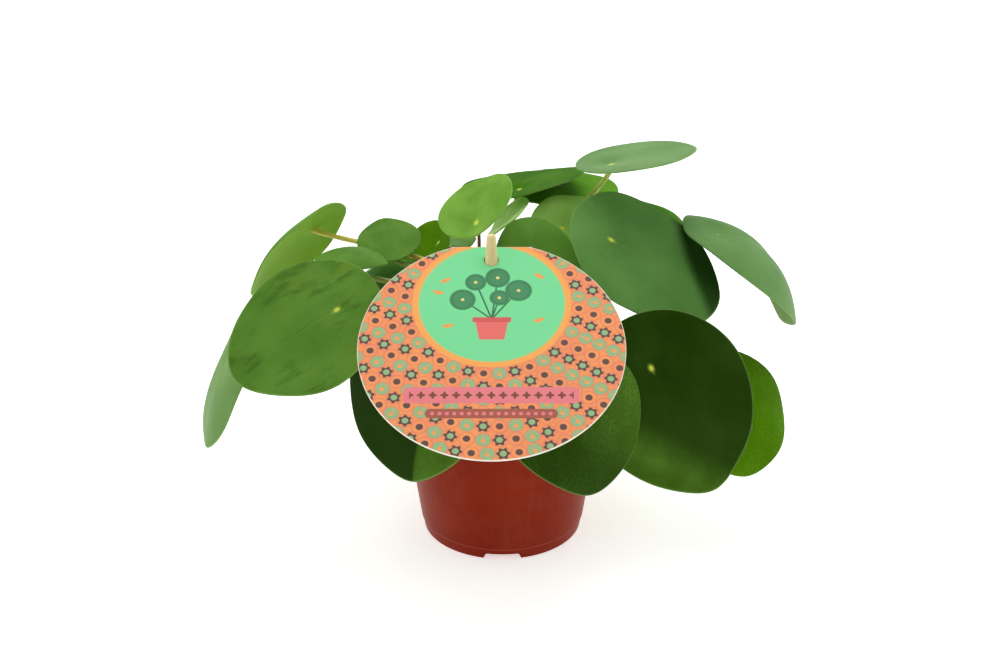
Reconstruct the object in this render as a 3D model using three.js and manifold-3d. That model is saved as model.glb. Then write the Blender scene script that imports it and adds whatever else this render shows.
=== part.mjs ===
// A Chinese money plant in a plastic nursery pot, with a round card held up on a wooden peg.
// Millimetres, +Z up. The origin is the middle of the pot's base, on the surface that it stands on.
// The card faces the front, which is -Y, and +X is to the right.
import * as THREE from "three";
import { mergeVertices } from "three/addons/utils/BufferGeometryUtils.js";
import Module from "manifold-3d";

const wasm = await Module();
wasm.setup();

// Clear space between pieces that touch
const GAP = 0.3;

// Pot
const POT_HEIGHT = 80;
const POT_BASE_RADIUS = 38.6;
const POT_TAPER = 0.142; // growth of the radius for each millimetre of height
const POT_WALL = 1.5;
const POT_SIDES = 60;
const FOOT_HEIGHT = 3; // the floor's underside stands this far off the surface
const FOOT_WIDTH = 3.2;
const LEDGE_Z = 5.4;
const LEDGE_STEP = 0.5;
const RIM_Z = 71;
const RIM_STEP = 1.1;
const RIM_CHAMFER = 0.8;
const NOTCH_COUNT = 3;
const NOTCH_TOP_WIDTH = 15.7;
const NOTCH_BOTTOM_WIDTH = 18.5;
const NOTCH_REACH = 4; // how far each notch's cut starts outside the foot
const DRAIN_COUNT = 6;
const DRAIN_RADIUS = 3;
const DRAIN_RING = 24;

// Soil
const SOIL_Z = 70;
const SOIL_SIDES = 40;
const SOIL_RINGS = 6;
const SOIL_RELIEF = 1.1; // how far its lumps rise and dip
const SOIL_ROUNDING = 2; // height of the soil's edge that rounds off below its top
const HOLE_RISE = 5; // how far the cuts for the stem and the peg reach above the soil
const STEM_ROOM = 0.6; // clear space round the stem's foot

// Woody stem in the middle, which the stalks grow from
const STEM_FOOT = [1, 3, 34];
const STEM_TOP = [-4, 4, 126];
const STEM_FOOT_RADIUS = 5.4;
const STEM_TOP_RADIUS = 3.4;
const STEM_TIP = [[2.4, 2.6], [4.2, 1.2]]; // rise above the stem's top, and the tip's radius there
const STEM_SIDES = 12;
const STEM_STEPS = 26;
const SCAR_RELIEF = 0.5;

// Peg of pale wood, upright through the card
const PEG_X = -4.9;
const PEG_Y = -27.3;
const PEG_RADIUS = 3;
const PEG_TIP_RADIUS = 2;
const PEG_BOTTOM_Z = 35;
const PEG_POINT_RADIUS = 0.8;
const PEG_POINT_LENGTH = 12;
const PEG_TAPER_Z = 143;
const PEG_TOP_Z = 158;
const PEG_CHAMFER = 0.6;

// Round card, which leans back, with its short flap folded under at the top edge
const CARD_CENTRE = [-4.6, -67.9, 123.4];
const CARD_LEAN = 29.6; // degrees from level
const CARD_RADIUS = 56.3;
const CARD_THICKNESS = 0.8;
const CARD_FOLD_REACH = 53.5; // from the centre to the straight fold edge
const FLAP_LENGTH = 26;
const FLAP_ANGLE = 7; // degrees between card and flap

// Blades and stalks
const BLADE_THICKNESS = 0.9;
const BLADE_SIDES = 24;
const BLADE_RINGS = [0.38, 0.74, 1];
const HUB_SHIFT = 0.22; // from the hub to the blade's middle, in blade lengths
const TIP_WIDTH = 0.2;
const TIP_NARROWING = 0.05; // share that the width loses towards the tip and gains behind the hub
const FOLD_SOFTNESS = 0.02; // how far the fold along the midrib is rounded off
const DIMPLE_DEPTH = 1.4;
const DIMPLE_RADIUS = 7;
const STALK_SIDES = 6;
const STALK_STEPS = 9;
const STALK_FOOT_RADIUS = 1.7;
const STALK_HUB_RADIUS = 1.15;
const STALK_RISE = 25; // degrees, where a stalk leaves the stem
const STALK_FOOT_LEAD = 0.3; // share of its reach that a stalk holds its first direction
const STALK_HUB_LEAD = 0.18; // and the same under the blade

// The leaves, from the left round the front to the back. Each row gives:
// name: what the blade and its stalk are called
// hub: where the stalk meets the blade
// face: compass of the upper face (0 to the front, 90 to the right) and its height above level
// turn: the tip's angle from straight downhill, anticlockwise on the face
// size: length and width of the blade, and where it isn't HUB_SHIFT, the way from the hub to its middle
// form: how far the edges fall away (cup), the sides rise from the midrib (fold), the edge waves, and
//   the tip draws out to a point (a share of the radius)
// from: height on the stem where the stalk starts
// sway: how far the stalk bows aside on its way, where it has to pass others
const LEAVES = [
  ["left_folded", [-92, 48, 133.5], [-120, 30], 70, [65.5, 49.5], [7.5, 1, 0.5], 116, [0, 5, 3.5]],
  ["left_big", [-72, -35, 126], [-18, 51], -43, [72, 66], [0, 0, 1, 0.042], 110, [-5, 0, 4]],
  ["left_hanging", [-122.5, -13, 97.5], [-76, 26], 14, [66, 61], [5.5, 1, 0.5], 96],
  ["left_small", [-77.5, 5, 137], [154, 84], -68, [32, 35, 0.24], [5, 0, 0.2, 0.055], 113],
  ["left_under", [-52, 28, 115.5], [-61, 61], 10, [51, 48], [3, 0, 1], 100],
  ["middle_small", [-51, 20, 130], [-11, 71], -155, [31, 30.5, 0.37], [0, 0, 0, 0.05], 122],
  ["middle_dark", [-31, 57, 123.5], [-62, 32], -18, [48, 39.5, 0.31], [0, 2, 0.2], 114],
  ["middle_back", [-22.5, 72, 118.5], [-159, 88], 24, [29.5, 26.5], [2, 0, 1], 103],
  ["top_young", [-11.5, -8, 156], [-60, 58], -131, [42, 37.5, 0.26], [0.5, 3.5, 0.1], 121, [-1, 0, 0]],
  ["top_narrow", [1.5, 23, 145.5], [-91, 49], -197, [24.5, 27, 0.14], [0, 1.5, 0.2], 124],
  ["top_middle", [8, 38, 156.5], [222, 78], -55, [68, 59.5, 0.18], [0.5, 3, 0.2], 112, [-5, 0, 0]],
  ["top_dark", [22.5, 68, 149.5], [67, 89], -11, [56, 56, 0.15], [1.5, 0, 0.5], 106],
  ["top_right", [49.5, 20, 174.5], [-119, 80], -141, [56, 56], [0, 1, 0.1], 120, [1, 24, -1]],
  ["right_middle", [27, 14, 146], [28, 48], 80, [47.5, 36.5, 0.19], [1.5, 0, 1], 114],
  ["behind_card", [14.5, -6, 138.5], [-5, 49], 16, [73, 40.5, 0.19], [1.5, 0, 1], 118],
  ["right_big", [48, -9, 149], [38, 46], 40, [79, 62, 0.24], [0, 0, 1], 104, [8, 8, -4]],
  ["right_back", [66.5, 50, 142.8], [70, 70], 10, [38, 34], [4, 0, 0.5], 109],
  ["right_outer", [98.3, 9.8, 144.3], [96, 45], 17, [81.5, 61, 0.34], [18.5, 8.3, 0], 99, [0, 30, 0]],
  ["right_dark", [65, -44, 102.5], [1, 9], 28, [84.5, 74, 0.21], [3.5, 3, 1, 0.11], 95],
  ["right_bright", [104, -12, 77.5], [32, 32], 16, [60.5, 60], [9, 0, 1], 90],
  ["front_right", [30, -73, 107.5], [31, 28], 4, [64.5, 68, 0.18], [10, 0, 1, 0.08], 88],
  ["front_left", [-38.5, -45, 113], [-37, 15], 3, [81.5, 76.5, 0.23], [6.5, 0, 1, 0.036], 86],
  ["back_right", [50, 68, 120], [130, 48], 0, [66, 62], [5, 0, 1], 94],
  ["back_middle", [14, 86.3, 92], [176, 40], 10, [72, 68], [6, 0, 1], 98],
  ["back_left", [-50.5, 92, 100.4], [-90, 60], 0, [48, 44], [3, 0, 1], 97, [0, 0, 5]],
  ["back_low_right", [42, 64, 80], [145, 25], 0, [62, 58], [5, 0, 1], 88],
  ["back_low_left", [-18, 60, 82], [-165, 25], 0, [60, 56], [5, 0, 1], 87],
].map(([name, hub, face, turn, size, form, from, sway = [0, 0, 0]]) => (
  { name, hub, face, turn, size, form, from, sway }
));

const { degToRad } = THREE.MathUtils;

// A point or direction from its three numbers.
const at = (x, y, z) => new THREE.Vector3(x, y, z);

const EAST = at(1, 0, 0);
const NORTH = at(0, 1, 0);

// A closed geometry from its points and its triangles, which name the points by number.
function closedGeometry(points, faces) {
  const geometry = new THREE.BufferGeometry().setFromPoints(points);
  geometry.setIndex(faces.flat());
  geometry.computeVertexNormals();
  return geometry;
}

// Skins a row of rings, each anticlockwise about the way the row runs, and closes both ends.
function loft(rings) {
  const sides = rings[0].length;
  const points = rings.flat();
  const faces = [];
  for (let i = 0; i + 1 < rings.length; i++) {
    for (let j = 0; j < sides; j++) {
      const next = (j + 1) % sides;
      const [a, b] = [i * sides + j, i * sides + next];
      const [c, d] = [b + sides, a + sides];
      faces.push([a, b, c], [a, c, d]);
    }
  }
  const last = (rings.length - 1) * sides;
  for (let j = 1; j + 1 < sides; j++) {
    faces.push([0, j + 1, j], [last, last + j, last + j + 1]);
  }
  return closedGeometry(points, faces);
}

// A ring of points round a centre in the plane of two directions.
function ringPoints(centre, x, y, sides, radiusAt) {
  return Array.from({ length: sides }, (_, j) => {
    const angle = (2 * Math.PI * j) / sides;
    const r = radiusAt(angle);
    return centre.clone().addScaledVector(x, r * Math.cos(angle)).addScaledVector(y, r * Math.sin(angle));
  });
}

// A geometry as a solid that can be cut and joined.
function solidOf(geometry) {
  const bare = geometry.clone().deleteAttribute("normal");
  bare.deleteAttribute("uv");
  const merged = mergeVertices(bare, 1e-4);
  const vertProperties = new Float32Array(merged.attributes.position.array);
  const triVerts = new Uint32Array(merged.index.array);
  return new wasm.Manifold(new wasm.Mesh({ numProp: 3, vertProperties, triVerts }));
}

// A solid's surface as a geometry again.
function geometryOf(solid) {
  const mesh = solid.getMesh();
  const geometry = new THREE.BufferGeometry();
  geometry.setAttribute("position", new THREE.BufferAttribute(new Float32Array(mesh.vertProperties), 3));
  geometry.setIndex(new THREE.BufferAttribute(new Uint32Array(mesh.triVerts), 1));
  geometry.computeVertexNormals();
  return geometry;
}

// An upright cylinder between two heights.
function uprightCylinder(radius, low, high, sides) {
  const geometry = new THREE.CylinderGeometry(radius, radius, high - low, sides);
  return geometry.rotateX(Math.PI / 2).translate(0, 0, (low + high) / 2);
}

const plant = new THREE.Group();

function addPiece(name, geometry, color, roughness) {
  const material = new THREE.MeshStandardMaterial({ color, roughness, metalness: 0 });
  const mesh = new THREE.Mesh(geometry, material);
  mesh.name = name;
  plant.add(mesh);
}

// Outer radius of the pot's wall at a height.
const potRadius = (z) => POT_BASE_RADIUS + POT_TAPER * z;

// Pot: a tapered shell on a low foot ring, with a rim, three notches in the foot and drain holes
function makePot() {
  const inside = (z) => potRadius(z) - POT_WALL;
  const floorTop = FOOT_HEIGHT + POT_WALL;
  const profile = [
    [0, FOOT_HEIGHT],
    [POT_BASE_RADIUS - FOOT_WIDTH, FOOT_HEIGHT],
    [POT_BASE_RADIUS - FOOT_WIDTH, 0],
    [POT_BASE_RADIUS - LEDGE_STEP, 0],
    [potRadius(LEDGE_Z) - LEDGE_STEP, LEDGE_Z],
    [potRadius(LEDGE_Z + LEDGE_STEP), LEDGE_Z + LEDGE_STEP],
    [potRadius(RIM_Z), RIM_Z],
    [potRadius(RIM_Z) + RIM_STEP, RIM_Z + RIM_CHAMFER],
    [potRadius(POT_HEIGHT) + RIM_STEP, POT_HEIGHT - RIM_CHAMFER],
    [potRadius(POT_HEIGHT) + RIM_STEP - RIM_CHAMFER, POT_HEIGHT],
    [inside(POT_HEIGHT) + RIM_CHAMFER / 2, POT_HEIGHT],
    [inside(POT_HEIGHT), POT_HEIGHT - RIM_CHAMFER / 2],
    [inside(floorTop), floorTop],
    [0, floorTop],
  ].map(([r, z]) => new THREE.Vector2(r, z));
  let pot = solidOf(new THREE.LatheGeometry(profile, POT_SIDES).rotateX(Math.PI / 2));

  const half = [NOTCH_BOTTOM_WIDTH / 2, NOTCH_TOP_WIDTH / 2];
  const notchShape = new THREE.Shape([
    new THREE.Vector2(-half[0], -1),
    new THREE.Vector2(half[0], -1),
    new THREE.Vector2(half[1], FOOT_HEIGHT),
    new THREE.Vector2(-half[1], FOOT_HEIGHT),
  ]);
  const notchDepth = 2 * FOOT_WIDTH + NOTCH_REACH;
  for (let i = 0; i < NOTCH_COUNT; i++) {
    const notch = new THREE.ExtrudeGeometry(notchShape, { depth: notchDepth, bevelEnabled: false });
    notch.rotateX(Math.PI / 2).translate(0, -POT_BASE_RADIUS + notchDepth - NOTCH_REACH, 0);
    notch.rotateZ((2 * Math.PI * i) / NOTCH_COUNT);
    pot = pot.subtract(solidOf(notch));
  }
  for (let i = 0; i < DRAIN_COUNT; i++) {
    const hole = uprightCylinder(DRAIN_RADIUS, 0, floorTop + 1, 16).translate(DRAIN_RING, 0, 0);
    hole.rotateZ((2 * Math.PI * (i + 0.5)) / DRAIN_COUNT);
    pot = pot.subtract(solidOf(hole));
  }
  return geometryOf(pot);
}
addPiece("pot", makePot(), 0x9a3d22, 0.5);

// Soil: fills the pot, with a lumpy top and a plain hole each for the stem and the peg
function makeSoil() {
  const insideRadius = (z) => potRadius(z) - POT_WALL - GAP;
  const floorZ = FOOT_HEIGHT + POT_WALL + GAP;
  const relief = (x, y) =>
    SOIL_RELIEF * (Math.sin(0.31 * x + 0.9) * Math.cos(0.27 * y) + 0.6 * Math.sin(0.55 * y - 0.37 * x));
  const rings = [floorZ, SOIL_Z - SOIL_ROUNDING].map((z) =>
    ringPoints(at(0, 0, z), EAST, NORTH, SOIL_SIDES, () => insideRadius(z)));
  for (let k = SOIL_RINGS; k > 0; k--) {
    const radius = ((insideRadius(SOIL_Z) - SOIL_ROUNDING / 3) * k) / SOIL_RINGS;
    const ring = ringPoints(at(0, 0, 0), EAST, NORTH, SOIL_SIDES, () => radius);
    rings.push(ring.map((p) => at(p.x, p.y, SOIL_Z + relief(p.x, p.y))));
  }
  let soil = solidOf(loft(rings));
  const peg = uprightCylinder(PEG_RADIUS + GAP, PEG_BOTTOM_Z - GAP, SOIL_Z + HOLE_RISE, 16);
  soil = soil.subtract(solidOf(peg.translate(PEG_X, PEG_Y, 0)));
  const stemRadius = STEM_FOOT_RADIUS + SCAR_RELIEF + STEM_ROOM;
  const stemHole = uprightCylinder(stemRadius, STEM_FOOT[2] - GAP, SOIL_Z + HOLE_RISE, 20);
  soil = soil.subtract(solidOf(stemHole.translate(STEM_FOOT[0], STEM_FOOT[1], 0)));
  return geometryOf(soil);
}
addPiece("soil", makeSoil(), 0x33241b, 0.95);

// The stem's middle and radius at a height.
function stemAt(z) {
  const part = (z - STEM_FOOT[2]) / (STEM_TOP[2] - STEM_FOOT[2]);
  const bend = Math.max(0, (z - SOIL_Z) / (STEM_TOP[2] - SOIL_Z));
  const middle = at(
    THREE.MathUtils.lerp(STEM_FOOT[0], STEM_TOP[0], bend),
    THREE.MathUtils.lerp(STEM_FOOT[1], STEM_TOP[1], bend),
    z,
  );
  return { middle, radius: THREE.MathUtils.lerp(STEM_FOOT_RADIUS, STEM_TOP_RADIUS, part) };
}

// Stem: short and woody, knobbed with the scars of old leaves, with a blunt growing tip
function makeStem() {
  const rings = [];
  for (let i = 0; i <= STEM_STEPS; i++) {
    const z = THREE.MathUtils.lerp(STEM_FOOT[2], STEM_TOP[2], i / STEM_STEPS);
    const { middle, radius } = stemAt(z);
    const scar = (angle) => radius - SCAR_RELIEF * (1 - Math.abs(Math.cos(1.5 * angle + 0.9 * i)));
    rings.push(ringPoints(middle, EAST, NORTH, STEM_SIDES, scar));
  }
  const top = stemAt(STEM_TOP[2]).middle;
  for (const [rise, radius] of STEM_TIP) {
    rings.push(ringPoints(top.clone().add(at(0, 0, rise)), EAST, NORTH, STEM_SIDES, () => radius));
  }
  return loft(rings);
}
addPiece("stem", makeStem(), 0x6b4a2f, 0.85);

// Peg: a round stick, pointed in the soil and tapered above the card
function makePeg() {
  const profile = [
    [0, PEG_BOTTOM_Z],
    [PEG_POINT_RADIUS, PEG_BOTTOM_Z + PEG_CHAMFER],
    [PEG_RADIUS, PEG_BOTTOM_Z + PEG_POINT_LENGTH],
    [PEG_RADIUS, PEG_TAPER_Z],
    [PEG_TIP_RADIUS, PEG_TOP_Z - PEG_CHAMFER],
    [PEG_TIP_RADIUS - PEG_CHAMFER, PEG_TOP_Z],
    [0, PEG_TOP_Z],
  ].map(([r, z]) => new THREE.Vector2(r, z));
  return geometryOf(solidOf(new THREE.LatheGeometry(profile, 16).rotateX(Math.PI / 2)))
    .translate(PEG_X, PEG_Y, 0);
}
addPiece("peg", makePeg(), 0xd8c096, 0.7);

// Card: a disc with a straight fold edge, its flap turned under, and a hole for the peg through both
function makeCard() {
  const foldHalf = Math.sqrt(CARD_RADIUS ** 2 - CARD_FOLD_REACH ** 2);
  const foldAngle = Math.asin(CARD_FOLD_REACH / CARD_RADIUS);
  const face = new THREE.Shape();
  face.moveTo(-foldHalf, CARD_FOLD_REACH);
  face.absarc(0, 0, CARD_RADIUS, Math.PI - foldAngle, 2 * Math.PI + foldAngle, false);
  face.closePath();
  const plate = { depth: CARD_THICKNESS, bevelEnabled: false, curveSegments: 64 };
  const disc = new THREE.ExtrudeGeometry(face, plate).translate(0, 0, -CARD_THICKNESS);

  const flapShape = new THREE.Shape();
  const corner = 6;
  flapShape.moveTo(-foldHalf, 0);
  flapShape.lineTo(-foldHalf, corner - FLAP_LENGTH);
  flapShape.quadraticCurveTo(-foldHalf, -FLAP_LENGTH, corner - foldHalf, -FLAP_LENGTH);
  flapShape.lineTo(foldHalf - corner, -FLAP_LENGTH);
  flapShape.quadraticCurveTo(foldHalf, -FLAP_LENGTH, foldHalf, corner - FLAP_LENGTH);
  flapShape.lineTo(foldHalf, 0);
  flapShape.closePath();
  const flapPlate = { depth: CARD_THICKNESS, bevelEnabled: false, curveSegments: 6 };
  const flap = new THREE.ExtrudeGeometry(flapShape, flapPlate).translate(0, 0, -2 * CARD_THICKNESS);
  flap.rotateX(degToRad(FLAP_ANGLE)).translate(0, CARD_FOLD_REACH, 0);
  const bead = new THREE.CylinderGeometry(CARD_THICKNESS, CARD_THICKNESS, 2 * foldHalf, 12);
  bead.rotateZ(Math.PI / 2).translate(0, CARD_FOLD_REACH, -CARD_THICKNESS);

  const lean = new THREE.Matrix4().makeRotationX(degToRad(CARD_LEAN));
  const placed = (geometry) => solidOf(geometry.applyMatrix4(lean).translate(...CARD_CENTRE));
  const whole = placed(disc).add(placed(flap)).add(placed(bead));
  const hole = uprightCylinder(PEG_RADIUS + GAP, CARD_CENTRE[2] - 20, PEG_TOP_Z + 10, 16);
  return geometryOf(whole.subtract(solidOf(hole.translate(PEG_X, PEG_Y, 0))));
}
addPiece("card", makeCard(), 0xe8a06a, 0.45);

// Directions of a blade: u from the hub to the tip, v across, w up through the face.
function bladeFrame({ face, turn }) {
  const [compass, rise] = face.map(degToRad);
  const [outX, outY] = [Math.sin(compass), -Math.cos(compass)];
  const w = at(outX * Math.cos(rise), outY * Math.cos(rise), Math.sin(rise));
  const downhill = at(outX * Math.sin(rise), outY * Math.sin(rise), -Math.cos(rise));
  const across = w.clone().cross(downhill);
  const swing = degToRad(turn);
  const u = downhill.multiplyScalar(Math.cos(swing)).addScaledVector(across, Math.sin(swing));
  const v = w.clone().cross(u);
  return { u, v, w };
}

// The blade's middle surface, at an angle round the hub and a share of the way out to the edge.
function bladePoint(leaf, frame, angle, share) {
  const [length, width, shift = HUB_SHIFT] = leaf.size;
  const [cup, fold, wave, pointed = 0] = leaf.form;
  const tip = 1 + pointed * Math.exp(-((Math.sin(angle / 2) / TIP_WIDTH) ** 2));
  const u = share * tip * length * (shift + 0.5 * Math.cos(angle));
  const v = share * width * 0.5 * Math.sin(angle) * (1 - TIP_NARROWING * Math.cos(angle));
  const along = (u - shift * length) / (length / 2);
  const side = v / (width / 2);
  const start = (2 * shift) ** 2;
  const phase = leaf.hub[0] + leaf.hub[2];
  const dimple = DIMPLE_DEPTH * (1 - Math.exp(-(u * u + v * v) / DIMPLE_RADIUS ** 2));
  const height =
    dimple
    - cup * (along * along + side * side - start)
    + fold * (Math.sqrt(side * side + FOLD_SOFTNESS) - Math.sqrt(FOLD_SOFTNESS))
    + wave * share ** 3 * Math.sin(5 * angle + phase);
  const point = at(...leaf.hub).addScaledVector(frame.u, u).addScaledVector(frame.v, v);
  return point.addScaledVector(frame.w, height);
}

// Blade: a round sheet of even thickness, split alike on both faces
function makeBlade(leaf) {
  const NEAR = 0.01; // step to a neighbouring point, for the surface's own slope
  const frame = bladeFrame(leaf);
  const upper = [];
  const lower = [];
  const put = (point, normal) => {
    upper.push(point.clone().addScaledVector(normal, BLADE_THICKNESS / 2));
    lower.push(point.clone().addScaledVector(normal, -BLADE_THICKNESS / 2));
  };
  put(bladePoint(leaf, frame, 0, 0), frame.w);
  for (const share of BLADE_RINGS) {
    for (let j = 0; j < BLADE_SIDES; j++) {
      const angle = (2 * Math.PI * j) / BLADE_SIDES;
      const middle = bladePoint(leaf, frame, angle, share);
      const out = bladePoint(leaf, frame, angle, share + NEAR).sub(middle);
      const round = bladePoint(leaf, frame, angle + NEAR, share).sub(middle);
      put(middle, out.cross(round).normalize());
    }
  }
  const number = (ring, j) => (ring < 0 ? 0 : 1 + ring * BLADE_SIDES + (j % BLADE_SIDES));
  const sheet = [];
  for (let j = 0; j < BLADE_SIDES; j++) {
    sheet.push([0, number(0, j), number(0, j + 1)]);
    for (let ring = 0; ring + 1 < BLADE_RINGS.length; ring++) {
      const [a, b] = [number(ring, j), number(ring, j + 1)];
      const [c, d] = [number(ring + 1, j + 1), number(ring + 1, j)];
      sheet.push([a, d, c], [a, c, b]);
    }
  }
  const count = upper.length;
  const faces = sheet.concat(sheet.map(([a, b, c]) => [count + a, count + c, count + b]));
  const edge = BLADE_RINGS.length - 1;
  for (let j = 0; j < BLADE_SIDES; j++) {
    const [a, b] = [number(edge, j), number(edge, j + 1)];
    faces.push([a, count + a, count + b], [a, count + b, b]);
  }
  return closedGeometry(upper.concat(lower), faces);
}

// The way square to the blade at its hub, where the cup already slopes it.
function hubNormal(leaf) {
  const { u, w } = bladeFrame(leaf);
  const [length, , shift = HUB_SHIFT] = leaf.size;
  const slope = (8 * leaf.form[0] * shift) / length;
  return w.addScaledVector(u, -slope).normalize();
}

// The line that a stalk follows, from the stem to just under the hub.
function stalkPath(leaf) {
  const { w } = bladeFrame(leaf);
  const hub = at(...leaf.hub).addScaledVector(hubNormal(leaf), -BLADE_THICKNESS / 2 - GAP);
  const sway = at(...leaf.sway);
  const { middle, radius } = stemAt(leaf.from);
  const out = hub.clone().add(sway).sub(middle).setZ(0).normalize();
  const rise = degToRad(STALK_RISE);
  const start = middle.clone().addScaledVector(out, radius + GAP + STALK_FOOT_RADIUS * Math.sin(rise));
  const reach = start.distanceTo(hub);
  const away = out.multiplyScalar(Math.cos(rise)).setZ(Math.sin(rise));
  const first = start.clone().addScaledVector(away, STALK_FOOT_LEAD * reach).add(sway);
  const second = hub.clone().addScaledVector(w, -STALK_HUB_LEAD * reach).add(sway);
  return new THREE.CubicBezierCurve3(start, first, second, hub);
}

// Stalk: a thin round stem, a little thicker where it starts, cut flat along the blade at the hub
function makeStalk(leaf) {
  const path = stalkPath(leaf);
  const frames = path.computeFrenetFrames(STALK_STEPS, false);
  const rings = [];
  for (let i = 0; i <= STALK_STEPS; i++) {
    const radius = THREE.MathUtils.lerp(STALK_FOOT_RADIUS, STALK_HUB_RADIUS, i / STALK_STEPS);
    const way = i === STALK_STEPS ? hubNormal(leaf) : frames.tangents[i];
    const y = way.clone().cross(frames.normals[i]).normalize();
    const x = y.clone().cross(way);
    rings.push(ringPoints(path.getPointAt(i / STALK_STEPS), x, y, STALK_SIDES, () => radius));
  }
  return loft(rings);
}

for (const leaf of LEAVES) {
  addPiece("blade_" + leaf.name, makeBlade(leaf), 0x4f7f2c, 0.4);
  addPiece("stalk_" + leaf.name, makeStalk(leaf), 0x9a8a45, 0.6);
}

export default plant;
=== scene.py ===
"""A potted money plant: round leaves on long stalks, in a tapered plastic pot, with a card on a peg."""
import math
import random

import bmesh
import bpy
import numpy as np
from mathutils import Matrix, Vector


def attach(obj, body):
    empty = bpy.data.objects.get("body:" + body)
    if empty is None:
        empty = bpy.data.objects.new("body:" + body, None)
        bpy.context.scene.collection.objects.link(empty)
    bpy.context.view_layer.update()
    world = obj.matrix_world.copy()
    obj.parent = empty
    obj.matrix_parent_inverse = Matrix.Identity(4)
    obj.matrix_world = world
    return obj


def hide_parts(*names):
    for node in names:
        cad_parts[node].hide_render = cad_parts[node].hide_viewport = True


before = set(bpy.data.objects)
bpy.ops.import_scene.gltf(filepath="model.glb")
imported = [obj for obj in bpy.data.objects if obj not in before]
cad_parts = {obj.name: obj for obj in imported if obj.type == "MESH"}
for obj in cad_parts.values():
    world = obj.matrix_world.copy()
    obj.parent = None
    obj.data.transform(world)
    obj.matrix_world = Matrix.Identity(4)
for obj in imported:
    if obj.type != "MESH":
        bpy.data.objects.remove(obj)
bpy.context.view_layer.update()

MM = 0.001
TURN = 2 * math.pi

# Camera, as the photograph was taken: metres, degrees and millimetres of lens
CAMERA_PLACE = (-0.0011, -0.6405, 0.3806)
CAMERA_PITCH = 23.7
CAMERA_LENS = 54
CAMERA_SENSOR = 36

# Lengths below are in millimetres, as in the part's source.

# Pot
POT_HEIGHT = 80
POT_BASE_RADIUS = 38.6
POT_TAPER = 0.142
POT_WALL = 1.5
POT_ROUNDING = 0.7
POT_SIDES = 180
FOOT_HEIGHT = 3
FOOT_WIDTH = 3.2
LEDGE_Z = 5.4
LEDGE_STEP = 0.5
RIM_Z = 71
RIM_STEP = 1.1
RIM_CHAMFER = 0.8
NOTCH_COUNT = 3
NOTCH_TOP = 15.7
NOTCH_BOTTOM = 18.5
NOTCH_CORNER = 1.2
DRAIN_COUNT = 6
DRAIN_RADIUS = 3
DRAIN_RING = 24

# Soil
SOIL_Z = 70
SOIL_EDGE_DROP = 1.5
SOIL_RELIEF = 1.1
SOIL_ROUGHNESS = 0.22
SOIL_GAP = 0.3
CRUMBS = 520
GRAINS = 34

# Stem
STEM_FOOT = (1, 3, 34)
STEM_TOP = (-4, 4, 126)
STEM_RADII = (5.4, 3.4)
STEM_CROWN = [(0.9, 0.95), (1.8, 0.82), (2.6, 0.62), (3.4, 0.4), (4.0, 0.18)]
SCARS = 30
SCAR_SIZE = (1.9, 1.35)
SCAR_RIM = 0.55
SCAR_DIP = 0.25
SCAR_LIMIT = 0.75
GOLDEN_ANGLE = 2.39996

# Peg
PEG_PLACE = (-4.9, -27.3)
PEG_RADIUS = 3
PEG_TIP_RADIUS = 2
PEG_BOTTOM_Z = 35
PEG_POINT_RADIUS = 0.8
PEG_POINT_LENGTH = 12
PEG_TAPER_Z = 143
PEG_TOP_Z = 158
PEG_CHAMFER = 0.6
PEG_ROUNDING = 1.4

# Card
CARD_CENTRE = (-4.6, -67.9, 123.4)
CARD_LEAN = 29.6
CARD_RADIUS = 56.3

# Leaves
BLADE_THICKNESS = 0.9
BLADE_SIDES = 144
BLADE_RINGS = 26
HUB_SHIFT = 0.22
TIP_WIDTH = 0.2
TIP_NARROWING = 0.05
FOLD_SOFTNESS = 0.02
EDGE_WAVE = 0.004
DIMPLE_DEPTH = 1.4
DIMPLE_RADIUS = 7
VEIN_COUNT = 9
VEIN_BEND = 0.35
UPPER_TROUGH = 0.06
UNDER_TROUGH = 0.22
STALK_SIDES = 14
STALK_STEPS = 48
STALK_FOOT_RADIUS = 1.7
STALK_HUB_RADIUS = 1.15
STALK_RISE = 25
STALK_FOOT_LEAD = 0.3
STALK_HUB_LEAD = 0.18
STALK_INTO_STEM = 2.2
STALK_INTO_BLADE = 0.35
STALK_FOOT_SWELL = (0.9, 2.4)  # how much thicker, and over what length
STALK_HUB_SWELL = (0.75, 1.5)
STALK_WAVER = 0.035
STALK_FLUTE = 0.05
YOUNG_STALK = 0.62  # how thin the young leaf's stalk is, as a share of the others
GAP = 0.3

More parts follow.
